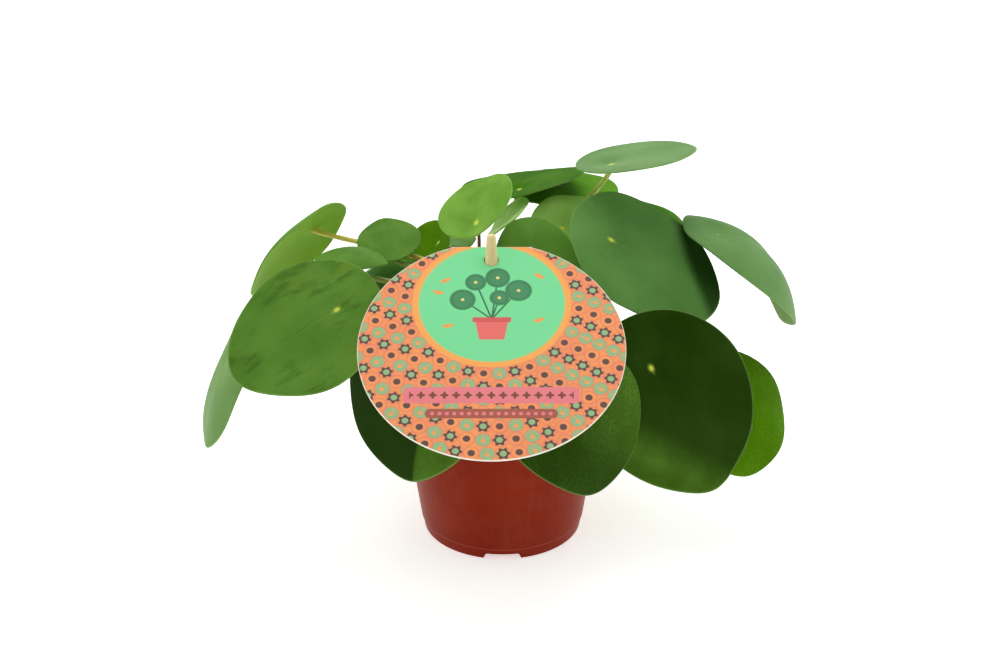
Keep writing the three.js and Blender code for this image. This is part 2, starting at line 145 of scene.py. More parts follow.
# name, hub, face, turn, size, form, height on the stem and shade, then the stalk's shade and sway where they
# aren't the plain ones
LEAVES = [
    ("left_folded", (-92, 48, 133.5), (-120, 30), 70, (65.5, 49.5), (7.5, 1, 0.5), 116,
     "lime", "straw", (0, 5, 3.5)),
    ("left_big", (-72, -35, 126), (-18, 51), -43, (72, 66), (0, 0, 1, 0.042), 110,
     "grass", "olive", (-5, 0, 4)),
    ("left_hanging", (-122.5, -13, 97.5), (-76, 26), 14, (66, 61), (5.5, 1, 0.5), 96, "pale"),
    ("left_small", (-77.5, 5, 137), (154, 84), -68, (32, 35, 0.24), (5, 0, 0.2, 0.055), 113, "grass"),
    ("left_under", (-52, 28, 115.5), (-61, 61), 10, (51, 48), (3, 0, 1), 100, "shady"),
    ("middle_small", (-51, 20, 130), (-11, 71), -155, (31, 30.5, 0.37), (0, 0, 0, 0.05), 122, "grass"),
    ("middle_dark", (-31, 57, 123.5), (-62, 32), -18, (48, 39.5, 0.31), (0, 2, 0.2), 114, "bright"),
    ("middle_back", (-22.5, 72, 118.5), (-159, 88), 24, (29.5, 26.5), (2, 0, 1), 103, "pale"),
    ("top_young", (-11.5, -8, 156), (-60, 58), -131, (42, 37.5, 0.26), (0.5, 3.5, 0.1), 121,
     "young", "russet", (-1, 0, 0)),
    ("top_narrow", (1.5, 23, 145.5), (-91, 49), -197, (24.5, 27, 0.14), (0, 1.5, 0.2), 124, "thin"),
    ("top_middle", (8, 38, 156.5), (222, 78), -55, (68, 59.5, 0.18), (0.5, 3, 0.2), 112,
     "lush", "olive", (-5, 0, 0)),
    ("top_dark", (22.5, 68, 149.5), (67, 89), -11, (56, 56, 0.15), (1.5, 0, 0.5), 106, "spring"),
    ("top_right", (49.5, 20, 174.5), (-119, 80), -141, (56, 56), (0, 1, 0.1), 120,
     "sage", "fresh", (1, 24, -1)),
    ("right_middle", (27, 14, 146), (28, 48), 80, (47.5, 36.5, 0.19), (1.5, 0, 1), 114, "sunny"),
    ("behind_card", (14.5, -6, 138.5), (-5, 49), 16, (73, 40.5, 0.19), (1.5, 0, 1), 118, "fern"),
    ("right_big", (48, -9, 149), (38, 46), 40, (79, 62, 0.24), (0, 0, 1), 104, "moss", "olive", (8, 8, -4)),
    ("right_back", (66.5, 50, 142.8), (70, 70), 10, (38, 34), (4, 0, 0.5), 109, "lush"),
    ("right_outer", (98.3, 9.8, 144.3), (96, 45), 17, (81.5, 61, 0.34), (18.5, 8.3, 0), 99,
     "sea", "fresh", (0, 30, 0)),
    ("right_dark", (65, -44, 102.5), (1, 9), 28, (84.5, 74, 0.21), (3.5, 3, 1, 0.11), 95, "deep"),
    ("right_bright", (104, -12, 77.5), (32, 32), 16, (60.5, 60), (9, 0, 1), 90, "bright"),
    ("front_right", (30, -73, 107.5), (31, 28), 4, (64.5, 68, 0.18), (10, 0, 1, 0.08), 88, "deep"),
    ("front_left", (-38.5, -45, 113), (-37, 15), 3, (81.5, 76.5, 0.23), (6.5, 0, 1, 0.036), 86, "deep"),
    ("back_right", (50, 68, 120), (130, 48), 0, (66, 62), (5, 0, 1), 94, "moss"),
    ("back_middle", (14, 86.3, 92), (176, 40), 10, (72, 68), (6, 0, 1), 98, "grass"),
    ("back_left", (-50.5, 92, 100.4), (-90, 60), 0, (48, 44), (3, 0, 1), 97, "moss", "olive", (0, 0, 5)),
    ("back_low_right", (42, 64, 80), (145, 25), 0, (62, 58), (5, 0, 1), 88, "deep"),
    ("back_low_left", (-18, 60, 82), (-165, 25), 0, (60, 56), (5, 0, 1), 87, "deep"),
]
PLAIN_STALK = {"stalk_shade": "olive", "sway": (0, 0, 0)}

# Shades of a blade: its darker and lighter green, the green of its underside, how much it shines, and how
# much light passes through it. Some are painted light: the sunny green and the top_dark blade's green are
# lightened for blades that lie in shade, the thin green is paled for light shining through from behind, and
# the shady green is darkened as painted shade
BLADE_SHADES = {
    "young": ("64962a", "7cac40", "86ac4a", 0.06, 0.15),
    "lime": ("4c8420", "6fa23a", "8cbc3c", 0.06, 0.08),
    "lush": ("34640a", "42740e", "6e9a3e", 0.005, 0.08),
    "shady": ("3f6e22", "4f7f30", "6e9a3e", 0.02, 0.08),
    "spring": ("4c801a", "5c9024", "6e9a3e", 0.005, 0.2),
    "bright": ("467400", "548400", "7a9c40", 0.01, 0.08),
    "thin": ("a4cc68", "bce088", "b0d478", 0.05, 0.7),
    "grass": ("528028", "628f34", "7a9f50", 0.05, 0.08),
    "fern": ("5c8e30", "6e9e3e", "8cb058", 0.05, 0.08),
    "sunny": ("8eba52", "98c462", "a0c060", 0.05, 0.08),
    "moss": ("527f3a", "5f8d46", "7ba05a", 0.03, 0.08),
    "pale": ("628c42", "749c4c", "82a45c", 0.06, 0.08),
    "sage": ("628c4c", "739b5a", "7ba052", 0.1, 0.08),
    "sea": ("588444", "6a9452", "7ba052", 0.08, 0.08),
    "deep": ("3a5a0e", "527a28", "6d9748", 0.015, 0.08),
}

# How large the yellow dot over the stalk is, as a share of the others, where it is small or hardly shows
BLADE_DOTS = {
    "left_small": 0.05, "left_under": 0.05, "middle_back": 0.05, "top_narrow": 0.05, "middle_small": 0.05,
    "right_outer": 0.3, "middle_dark": 0.7,
}

VEIN_SHADE = "93b96a"
DOT_SHADE = "cfe055"
WRINKLE_SHADE = (0.01, 0.03, 0.0, 1)
OLIVE_SHADE = (0.13, 0.2, 0.005, 1)
SHADOW_SHADE = (0.001, 0.012, 0.0, 1)

# Shades of a stalk: where it leaves the stem, and under the blade
STALK_SHADES = {
    "olive": ("6f6a2c", "9aa64a"),
    "straw": ("b99a3c", "dccb5c"),
    "fresh": ("b0bc46", "d2e06c"),
    "russet": ("5b2f14", "84592a"),
}


def paint(code):
    """A colour as a screen shows it, as the linear colour that shaders use."""
    shown = [int(code[i:i + 2], 16) / 255 for i in (0, 2, 4)]
    return (*[c / 12.92 if c <= 0.04045 else ((c + 0.055) / 1.055) ** 2.4 for c in shown], 1)


# Shader trees

class Wire:
    """A number in a shader tree. Each sum or function of it places a Math node."""

    def __init__(self, tree, socket):
        self.tree = tree
        self.socket = socket

    def calc(self, operation, *others):
        step = self.tree.nodes.new("ShaderNodeMath")
        step.operation = operation
        for socket, value in zip(step.inputs, (self, *others)):
            join(self.tree, value, socket)
        return Wire(self.tree, step.outputs[0])

    def __add__(self, other):
        return self.calc("ADD", other)

    def __sub__(self, other):
        return self.calc("SUBTRACT", other)

    def __mul__(self, other):
        return self.calc("MULTIPLY", other)

    def __truediv__(self, other):
        return self.calc("DIVIDE", other)

    def size(self):
        return self.calc("ABSOLUTE")

    def ease(self, start, end, low=0, high=1):
        """Goes smoothly from low at start to high at end."""
        step = self.tree.nodes.new("ShaderNodeMapRange")
        step.interpolation_type = "SMOOTHSTEP"
        for socket, value in zip(step.inputs, (self, start, end, low, high)):
            join(self.tree, value, socket)
        return Wire(self.tree, step.outputs[0])

    def inside(self, limit, soft):
        """One where the number is under the limit, and none above it."""
        return self.ease(limit - soft, limit + soft, 1, 0)


def join(tree, value, socket):
    if isinstance(value, Wire):
        tree.links.new(value.socket, socket)
    else:
        socket.default_value = value


def place(tree, kind, given=(), **settings):
    """A node of a kind, with its settings and what goes into its sockets."""
    made = tree.nodes.new("ShaderNode" + kind)
    for name, value in settings.items():
        setattr(made, name, value)
    for name, value in dict(given).items():
        join(tree, value, made.inputs[name])
    return made


def out_of(tree, made, name=0):
    return Wire(tree, made.outputs[name])


def blend(tree, share, first, second):
    """A colour that goes from the first to the second as share goes from none to one."""
    made = tree.nodes.new("ShaderNodeMix")
    made.data_type = "RGBA"
    for index, value in ((0, share), (6, first), (7, second)):
        join(tree, value, made.inputs[index])
    return Wire(tree, made.outputs[2])


def point(tree, x, y, z=0.0):
    return out_of(tree, place(tree, "CombineXYZ", {"X": x, "Y": y, "Z": z}))


def parts_of(tree, vector):
    made = place(tree, "SeparateXYZ", {"Vector": vector})
    return [Wire(tree, socket) for socket in made.outputs]


def distance(x, y):
    return (x * x + y * y).calc("SQRT")


def noise(tree, where, scale, detail=3.0, rough=0.5):
    made = place(tree, "TexNoise", {"Vector": where, "Scale": scale, "Detail": detail, "Roughness": rough})
    return out_of(tree, made, "Fac")


def own_place(tree):
    """The point's place in the part's frame, in metres."""
    return out_of(tree, place(tree, "TexCoord"), "Object")


def kept(tree, name, output):
    """A value that is kept on the mesh."""
    return out_of(tree, place(tree, "Attribute", attribute_name=name), output)


def start_group(name, given, gives):
    """A node group with named inputs and outputs. Returns its tree, its inputs and its output node."""
    tree = bpy.data.node_groups.new(name, "ShaderNodeTree")
    for way, sockets in (("INPUT", given), ("OUTPUT", gives)):
        for label, kind in sockets:
            tree.interface.new_socket(label, in_out=way, socket_type="NodeSocket" + kind)
    entry = tree.nodes.new("NodeGroupInput")
    inputs = {label: Wire(tree, entry.outputs[label]) for label, _ in given}
    return tree, inputs, tree.nodes.new("NodeGroupOutput")


def use_group(tree, group, given):
    made = tree.nodes.new("ShaderNodeGroup")
    made.node_tree = group
    for name, value in given.items():
        join(tree, value, made.inputs[name])
    return {socket.name: Wire(tree, socket) for socket in made.outputs}


EVEN_SOCKETS = {
    "colour": "Base Color", "roughness": "Roughness", "shine": "Specular IOR Level",
    "depth": "Subsurface Weight", "depth_tint": "Subsurface Radius", "depth_scale": "Subsurface Scale",
    "glow": "Emission Color", "glow_strength": "Emission Strength",
}


def start_material(name, **even):
    """A material with the values that are the same all over it. Returns it, its tree and its shader."""
    material = bpy.data.materials.new(name)
    material.use_nodes = True
    shader = material.node_tree.nodes["Principled BSDF"]
    for label, value in even.items():
        shader.inputs[EVEN_SOCKETS[label]].default_value = value
    return material, material.node_tree, shader


def bumped(tree, shader, height, depth):
    """Gives the shader a normal from a height that goes from none to one over a depth in millimetres."""
    made = place(tree, "Bump", {"Height": height, "Distance": depth * MM})
    tree.links.new(made.outputs["Normal"], shader.inputs["Normal"])


# Blade surface: smooth green with faint veins, a yellow dot over the stalk, a thin light rim and a paler
# underside, and on some blades a painted shadow darkening part of the upper face
def make_blade_group():
    tree, given, out = start_group(
        "blade surface",
        [("Dark", "Color"), ("Light", "Color"), ("Under", "Color"), ("Vein", "Color"), ("Dot", "Color"),
         ("Half Length", "Float"), ("Dot Size", "Float"), ("Seed", "Float"), ("Pebbles", "Float"),
         ("Wrinkles", "Float"),
         ("Painted Shadow Way", "Vector"), ("Painted Shadow Soft", "Float"), ("Painted Shadow Depth", "Float")],
        [("Color", "Color"), ("Roughness", "Float"), ("Height", "Float")],
    )
    along, across, share = parts_of(tree, kept(tree, "blade_place", "Vector"))
    upper = kept(tree, "blade_face", "Fac").ease(-0.3, 0.3)
    here = point(tree, along, across, given["Seed"])

    reach = distance(along, across)
    bearing = across.calc("ARCTAN2", along)
    wander = (noise(tree, here, 3.0, 2) - 0.5) * 0.22
    fan = (bearing + bearing.calc("SINE") * reach * VEIN_BEND + wander) * (VEIN_COUNT / TURN)
    aside = (fan - fan.calc("ROUND")).size() * reach * (TURN / VEIN_COUNT)
    ribs = aside.ease(0.002, 0.022, 1, 0) * share.ease(0.35, 0.95, 1, 0)
    midrib_aside = (across + wander * reach * 0.4).size()
    midrib = midrib_aside.ease(0.002, 0.018, 1, 0) * along.ease(0, 0.1) * along.ease(0.5, 1.2, 1, 0)
    net = place(tree, "TexVoronoi", {"Vector": here, "Scale": 7.5}, feature="DISTANCE_TO_EDGE")
    net = out_of(tree, net, "Distance").ease(0.0, 0.07, 1, 0) * share.ease(0.1, 0.4)

    broad = noise(tree, here, 1.3, 3, 0.5).ease(0.3, 0.7)
    fleck = noise(tree, here, 11, 3, 0.6).ease(0.35, 0.75)
    green = blend(tree, broad, given["Dark"], given["Light"])
    green = blend(tree, fleck * 0.1, green, given["Light"])
    bands = noise(tree, point(tree, along * 2.2 + across, across * 7, given["Seed"]), 1.0, 5, 0.65)
    patch = noise(tree, here, 1.9, 2, 0.5).ease(0.42, 0.62)
    wrinkles = bands.ease(0.46, 0.62) * patch * given["Wrinkles"]
    green = blend(tree, wrinkles * 0.75, green, blend(tree, 0.45, given["Dark"], WRINKLE_SHADE))
    olive = noise(tree, here, 2.6, 3, 0.6).ease(0.55, 0.72) * given["Wrinkles"]
    green = blend(tree, olive * 0.35, green, OLIVE_SHADE)
    mottle = noise(tree, here, 24, 2, 0.5).ease(0.42, 0.6) * given["Pebbles"]
    green = blend(tree, mottle * 0.45, green, blend(tree, 0.3, given["Dark"], WRINKLE_SHADE))
    green = blend(tree, net * 0.03, green, given["Vein"])
    green = blend(tree, ribs * 0.02 + midrib * 0.06, green, given["Vein"])
    specks = place(tree, "TexVoronoi", {"Vector": here, "Scale": 19})
    specks = out_of(tree, specks, "Distance").ease(0.02, 0.05, 1, 0) * given["Pebbles"]
    specks = specks * noise(tree, here, 4.3, 1).ease(0.55, 0.6)
    green = blend(tree, specks * 0.5, green, given["Dot"])

    # Painted shadow: beyond a soft line the blade darkens towards a near-black green, standing for shade cast
    # by a leaf or the card above
    way_along, way_across, offset = parts_of(tree, given["Painted Shadow Way"])
    inward = along * way_along + across * way_across - offset + wander * 0.15
    painted_shadow = inward.ease(0, given["Painted Shadow Soft"]) * given["Painted Shadow Depth"]
    green = blend(tree, painted_shadow, green, blend(tree, 0.8, given["Dark"], SHADOW_SHADE))

    pale = blend(tree, broad * 0.35, given["Under"], given["Light"])
    pale = blend(tree, (ribs + midrib) * 0.1 + net * 0.04, pale, given["Dot"])
    colour = blend(tree, upper, pale, green)
    colour = blend(tree, share.ease(0.98, 0.996) * 0.3, colour, given["Vein"])

    run = along * given["Half Length"] - 0.5
    beside = across * given["Half Length"]
    far = distance(run * 0.8, beside) / given["Dot Size"]
    dot = far.ease(0.8, 1.4, 1, 0) * 0.95
    glow = far.ease(0.9, 2.4, 1, 0) * 0.3
    tail = beside.size().ease(0.1, 0.5, 1, 0) * run.ease(-1, 0) * run.ease(1, 4, 1, 0) * 0.6
    tail = tail * given["Dot Size"]
    colour = blend(tree, glow.calc("MAXIMUM", dot).calc("MAXIMUM", tail), colour, given["Dot"])
    join(tree, colour, out.inputs["Color"])

    dull = noise(tree, here, 5.5, 4, 0.6) * 0.14 + 0.42
    join(tree, dull, out.inputs["Roughness"])

    pebbles = noise(tree, here, 24, 2, 0.5) * (given["Pebbles"] * 1.5 + 0.05)
    side = upper * 2 - 1
    relief = pebbles + wrinkles * 0.4 - (ribs * 0.2 + midrib * 0.35 + net * 0.06) * side
    join(tree, relief, out.inputs["Height"])
    return tree


BLADE_SURFACE = make_blade_group()

# A blade's own marks, how pebbled and how wrinkled it is, and then its painted shadow, a darker part that
# stands for shade cast by the leaves or card above: which way over the blade it lies and how far out it
# starts, how soft its border is, and how dark it gets
BLADE_MARKS_AND_SHADOWS = {
    "left_big": (0.15, 1.0, (0, 0, 0), 1, 0),
    "right_bright": (1.0, 0.0, (0, 0, 0), 1, 0),
    "right_big": (0.1, 0.1, (0.85, 0.53, 0.93), 0.2, 0.95),
    "right_dark": (0.2, 0.1, (-0.57, 0.82, -0.95), 0.45, 0.8),
    "front_right": (1.0, 0.0, (0.6, -0.6, -0.1), 0.9, 0.75),
    "front_left": (0.3, 0.0, (-0.25, -0.97, -0.5), 0.05, 0.9),
}
PLAIN_MARKS = (0.15, 0.1, (0, 0, 0), 1, 0)


def make_blade_material(name, shade, half_length, seed):
    *greens, shine, through = BLADE_SHADES[shade]
    dark, light, under = (paint(code) for code in greens)
    pebbles, wrinkles, painted_shadow_way, painted_shadow_soft, painted_shadow_depth = BLADE_MARKS_AND_SHADOWS.get(name, PLAIN_MARKS)
    material, tree, shader = start_material(
        "blade " + name, shine=shine, depth=through, depth_tint=(0.6, 1.0, 0.25), depth_scale=0.0022)
    surface = use_group(tree, BLADE_SURFACE, {
        "Dark": dark, "Light": light, "Under": under, "Vein": paint(VEIN_SHADE), "Dot": paint(DOT_SHADE),
        "Half Length": half_length, "Dot Size": BLADE_DOTS.get(name, 1), "Seed": seed,
        "Pebbles": pebbles, "Wrinkles": wrinkles,
        "Painted Shadow Way": painted_shadow_way, "Painted Shadow Soft": painted_shadow_soft, "Painted Shadow Depth": painted_shadow_depth,
    })
    join(tree, surface["Color"], shader.inputs["Base Color"])
    join(tree, surface["Roughness"], shader.inputs["Roughness"])
    bumped(tree, shader, surface["Height"], 0.22)
    return material


# Stalk surface: from brownish where it leaves the stem to light green at the hub, with fine lengthwise lines
def make_stalk_group():
    tree, given, out = start_group(
        "stalk surface",
        [("Foot", "Color"), ("Hub", "Color"), ("Seed", "Float")],
        [("Color", "Color"), ("Height", "Float")],
    )
    length, round_it, _ = parts_of(tree, kept(tree, "stalk_place", "Vector"))
    turned = round_it * TURN
    wrapped = point(tree, turned.calc("COSINE"), turned.calc("SINE"), length * 2.5 + given["Seed"])
    lines = noise(tree, wrapped, 3.2, 3, 0.6)
    colour = blend(tree, (length + (lines - 0.5) * 0.3).ease(0.0, 0.75), given["Foot"], given["Hub"])
    colour = blend(tree, lines.ease(0.5, 0.75) * 0.35, colour, given["Foot"])
    join(tree, colour, out.inputs["Color"])
    join(tree, lines, out.inputs["Height"])
    return tree


STALK_SURFACE = make_stalk_group()


def make_stalk_material(name, shade, seed):
    foot, hub = (paint(code) for code in STALK_SHADES[shade])
    material, tree, shader = start_material(
        "stalk " + name, roughness=0.42, depth=0.15, depth_tint=(0.8, 1.0, 0.3), depth_scale=0.0015)
    surface = use_group(tree, STALK_SURFACE, {"Foot": foot, "Hub": hub, "Seed": seed})
    join(tree, surface["Color"], shader.inputs["Base Color"])
    bumped(tree, shader, surface["Height"], 0.12)
    return material


# Terracotta-coloured plastic: satin, with fine flow lines down the wall, faint scuffs and dust, and a painted
# highlight along the ledge above the foot
def make_pot_material():
    material, tree, shader = start_material("terracotta plastic", shine=0.06)
    where = own_place(tree)
    x, y, z = parts_of(tree, where)
    around = y.calc("ARCTAN2", x)
    flow = noise(tree, point(tree, around * 24, z * 18, 0), 1.0, 3, 0.6)
    cloud = noise(tree, where, 38, 4, 0.6)
    colour = blend(tree, cloud.ease(0.3, 0.7), paint("821f06"), paint("8a2508"))
    colour = blend(tree, flow.ease(0.4, 0.8) * 0.12, colour, paint("a84a30"))
    # Painted highlight: a faint lighter line along the edge of the ledge step
    ledge_highlight = (z - (LEDGE_Z + LEDGE_STEP / 2) * MM).size().ease(0.0002, 0.0009, 1, 0) * 0.15
    colour = blend(tree, ledge_highlight, colour, paint("b8654a"))
    dust = noise(tree, where, 60, 5, 0.65).ease(0.42, 0.75) * 0.03
    join(tree, blend(tree, dust, colour, paint("c79c86")), shader.inputs["Base Color"])
    join(tree, cloud * 0.08 + dust * 0.5 + 0.34, shader.inputs["Roughness"])
    grain = noise(tree, where, 900, 2, 0.5) * 0.35 + flow * 0.65
    bumped(tree, shader, grain, 0.06)
    return material


# Crumbly surface: dark lumps with paler fibres between them
def make_crumbly_group():
    tree, given, out = start_group(
        "crumbly surface",
        [("Dark", "Color"), ("Light", "Color"), ("Grain", "Float")],
        [("Color", "Color"), ("Height", "Float")],
    )
    where = own_place(tree)
    lumps = noise(tree, where, given["Grain"], 6, 0.7)
    fibres = noise(tree, where, given["Grain"] * 5, 4, 0.7)
    colour = blend(tree, lumps.ease(0.32, 0.68), given["Dark"], given["Light"])
    colour = blend(tree, fibres.ease(0.55, 0.7) * 0.4, colour, given["Light"])
    join(tree, colour, out.inputs["Color"])
    join(tree, lumps * 0.7 + fibres * 0.3, out.inputs["Height"])
    return tree


CRUMBLY_SURFACE = make_crumbly_group()


def make_soil_material(name, dark, light, grain):
    """Crumbly potting mix, or the pale grains in it."""
    material, tree, shader = start_material(name, roughness=0.95, shine=0.25)
    surface = use_group(tree, CRUMBLY_SURFACE, {"Dark": paint(dark), "Light": paint(light), "Grain": grain})
    join(tree, surface["Color"], shader.inputs["Base Color"])
    bumped(tree, shader, surface["Height"], 0.9)
    return material


# Bark: brown with corky cracks and paler bands, and greener towards the crown
def make_bark_material():
    material, tree, shader = start_material("bark", roughness=0.82)
    where = own_place(tree)
    x, y, z = parts_of(tree, where)
    stretched = point(tree, x, y, z * 0.45)
    cork = noise(tree, stretched, 520, 5, 0.65)
    bands = noise(tree, point(tree, x * 0.3, y * 0.3, z), 420, 3, 0.5)
    colour = blend(tree, cork.ease(0.32, 0.66), paint("4a2f1c"), paint("7d5a3a"))
    colour = blend(tree, bands.ease(0.5, 0.7) * 0.5, colour, paint("8f7350"))
    colour = blend(tree, z.ease(0.112, 0.128) * 0.75, colour, paint("7a8a3a"))
    join(tree, colour, shader.inputs["Base Color"])
    bumped(tree, shader, cork * 0.7 + bands * 0.3, 0.5)
    return material


# Peg wood: pale, with long straight grain and darker pores
def make_peg_material():
    material, tree, shader = start_material("peg wood", roughness=0.6)
    x, y, z = parts_of(tree, own_place(tree))
    grain = noise(tree, point(tree, x, y, z * 0.03), 1500, 4, 0.6)
    broad = noise(tree, point(tree, x, y, z * 0.05), 420, 2, 0.5)
    colour = blend(tree, broad.ease(0.3, 0.7), paint("efd79a"), paint("fae3ac"))
    colour = blend(tree, grain.ease(0.52, 0.72) * 0.4, colour, paint("d2b47c"))
    join(tree, colour, shader.inputs["Base Color"])
    bumped(tree, shader, grain, 0.12)
    return material


# The card's print

CENTRE_UP = 23  # the round picture's middle, up the slope from the card's middle
PICTURE_RADIUS = 31.5
FRAME_RADIUS = 34
ROW_PITCH = 6.5
SOFT = 0.12  # how far the ink's edges blur


def ring_of(far, middle, half):
    """A ring's mask, from the distance to its middle."""
    return (far - middle).size().inside(half, SOFT)


def bar(x, y, centre, half, corner):
    """The mask of a bar with round corners."""
    over = [(coordinate - c).size() - (h - corner) for coordinate, c, h in zip((x, y), centre, half)]
    outside = [o.calc("MAXIMUM", 0) for o in over]
    return distance(*outside).inside(corner, SOFT)


def line(x, y, start, end, half):
    """The mask of a straight line with round ends."""
    run = (end[0] - start[0], end[1] - start[1])
    long = run[0] ** 2 + run[1] ** 2
    dx, dy = x - start[0], y - start[1]
    part = ((dx * run[0] + dy * run[1]) / long).calc("MAXIMUM", 0).calc("MINIMUM", 1)
    return distance(dx - part * run[0], dy - part * run[1]).inside(half, SOFT)


def petals(x, y, radius, wave, count):
    """The mask of a flower."""
    edge = (y.calc("ARCTAN2", x) * count).calc("COSINE") * wave + radius
    return (distance(x, y) - edge).inside(0, SOFT)


def print_field(tree, x, y):
    """Rows of round leaves, flowers and dots, in rings about the picture."""
    up = y - CENTRE_UP
    far = distance(x, up)
    row = ((far - FRAME_RADIUS) / ROW_PITCH).calc("FLOOR")
    middle = (row + 0.5) * ROW_PITCH + FRAME_RADIUS
    cells = (middle * (TURN / ROW_PITCH / 3)).calc("ROUND") * 3
    spin = (up.calc("ARCTAN2", x) / TURN + 0.5) * cells + row * 0.5
    cell = spin.calc("FLOOR")
    kind = cell.calc("FLOORED_MODULO", 3)
    side = (spin - cell - 0.5) * (middle * TURN / cells)
    rise = far - middle
    own = distance(side, rise)

    shade = noise(tree, point(tree, x, y), 0.05, 1)
    colour = blend(tree, shade.ease(0.3, 0.7), paint("ff9f5a"), paint("f8945e"))
    colour = blend(tree, ring_of(own, 3.15, 0.2) * 0.7, colour, paint("e07a68"))

    is_leaf = kind.inside(0.5, 0.1)
    is_dot = (kind - 2).size().inside(0.5, 0.1)
    is_flower = (kind - 1).size().inside(0.5, 0.1)
    sage, brown, amber = paint("98bd86"), paint("614640"), paint("f5a35a")
    colour = blend(tree, own.inside(2.95, SOFT) * is_leaf, colour, sage)
    vein = side.size().inside(0.16, 0.08) * rise.inside(0.4, SOFT)
    spot = distance(side, rise - 0.5).inside(1.0, SOFT)
    colour = blend(tree, own.inside(2.7, SOFT) * vein.calc("MAXIMUM", spot) * is_leaf, colour, amber)
    colour = blend(tree, petals(side, rise, 2.5, 0.4, 6) * is_flower, colour, brown)
    colour = blend(tree, own.inside(1.35, SOFT) * is_flower, colour, sage)
    return blend(tree, own.inside(1.5, SOFT) * is_dot, colour, brown)


def print_bands(tree, x, y, colour):
    """Two plain bands under the picture, each with a row of small marks."""
    pink, brown = paint("ee8188"), paint("84442f")
    colour = blend(tree, bar(x, y, (0, -25), (36, 4.0), 1.5), colour, pink)
    step = 4.8
    beside = x - (x / step).calc("ROUND") * step
    mark = petals(beside, y + 25, 1.35, 0.4, 4) * bar(x, y, (0, -25), (33.6, 3.5), 0.5)
    colour = blend(tree, mark, colour, brown)
    colour = blend(tree, bar(x, y, (0, -34), (27, 2.3), 2.2), colour, paint("ad5a45"))
    step = 3.0
    beside = x - (x / step).calc("ROUND") * step
    mark = distance(beside, y + 34).inside(0.85, SOFT) * bar(x, y, (0, -34), (25.2, 2), 0.5)
    return blend(tree, mark, colour, pink)


PICTURE_LEAVES = [(-12.5, 1.5, 5.6), (-7, 11, 4.6), (2.5, 13.5, 5.4), (11.5, 6.5, 5.8), (3.2, 2.5, 4.2)]
PICTURE_FLAKES = [(-20, 12, 0.5), (-23, 5.5, -0.3), (20.5, 14.5, -0.6), (-18.5, -12.5, 0.2), (20, -9.5, 0.4)]


def print_picture(tree, x, y, colour):
    """A round picture of a leafy plant in a pot, in a ring."""
    up = y - CENTRE_UP
    far = distance(x, up)
    colour = blend(tree, far.inside(FRAME_RADIUS, SOFT), colour, paint("ffae54"))
    picture = blend(tree, ring_of(far, PICTURE_RADIUS, 0.35), paint("7ae29a"), paint("d2c877"))
    green, dark, coral = paint("3f8f5a"), paint("2c6b45"), paint("ef6f68")
    for place_x, place_y, _ in PICTURE_LEAVES:
        stalk = line(x, up, (0, -9), (place_x, place_y), 0.35)
        picture = blend(tree, stalk, picture, dark)
    for place_x, place_y, radius in PICTURE_LEAVES:
        own = distance(x - place_x, up - place_y)
        picture = blend(tree, own.inside(radius, SOFT), picture, green)
        picture = blend(tree, ring_of(own, radius - 1.0, 0.16), picture, dark)
        picture = blend(tree, own.inside(0.75, SOFT), picture, paint("f7e08a"))
    wall = (up + 14.5) * 0.18 + 6.2
    pot = (x.size() - wall).inside(0, SOFT) * (up + 14.5).size().inside(5.2, SOFT)
    picture = blend(tree, pot, picture, coral)
    picture = blend(tree, bar(x, up, (0, -9.3), (8.2, 1.3), 0.4), picture, paint("d95a58"))
    for place_x, place_y, slant in PICTURE_FLAKES:
        dx, dy = x - place_x, up - place_y
        turned = (dx * math.cos(slant) + dy * math.sin(slant)) * 0.42
        flake = distance(turned, dy * math.cos(slant) - dx * math.sin(slant)).inside(1.0, SOFT)
        picture = blend(tree, flake, picture, paint("f7a552"))
    return blend(tree, far.inside(PICTURE_RADIUS, SOFT), colour, picture)


# Printed card: a glossy print above, bare board at the cut edges and below
def make_card_material():
    material, tree, shader = start_material("printed card", shine=0.25)
    where = own_place(tree)
    x, y, z = parts_of(tree, where)
    lean = math.radians(CARD_LEAN)
    across = x / MM - CARD_CENTRE[0]
    back = (y / MM - CARD_CENTRE[1]) * math.cos(lean)
    slope = back + (z / MM - CARD_CENTRE[2]) * math.sin(lean)
    ink = print_field(tree, across, slope)
    ink = print_bands(tree, across, slope, ink)
    ink = print_picture(tree, across, slope, ink)
    ink = blend(tree, distance(across, slope).inside(CARD_RADIUS - 0.3, SOFT), paint("f0e4cc"), ink)

    normal = place(tree, "NewGeometry").outputs["Normal"]
    dot = place(tree, "VectorMath", operation="DOT_PRODUCT")
    tree.links.new(normal, dot.inputs[0])
    dot.inputs[1].default_value = (0, -math.sin(lean), math.cos(lean))
    above = out_of(tree, dot, "Value").ease(0.75, 0.9)
    fibre = noise(tree, where, 700, 4, 0.6)
    board = blend(tree, fibre.ease(0.35, 0.7), paint("e9e2d2"), paint("f6f1e6"))
    join(tree, blend(tree, above, board, ink), shader.inputs["Base Color"])
    join(tree, above * -0.14 + fibre * 0.08 + 0.6, shader.inputs["Roughness"])
    bumped(tree, shader, fibre, 0.03)
    return material


# Meshes

def add_piece(name, points, faces, material, slot, *nodes):
    """A piece of the plant from points in millimetres. It stands for the nodes, if any are given."""
    mesh = bpy.data.meshes.new(name)
    mesh.from_pydata((points * MM).tolist(), [], faces)
    return dress(name, mesh, material, slot, *nodes)


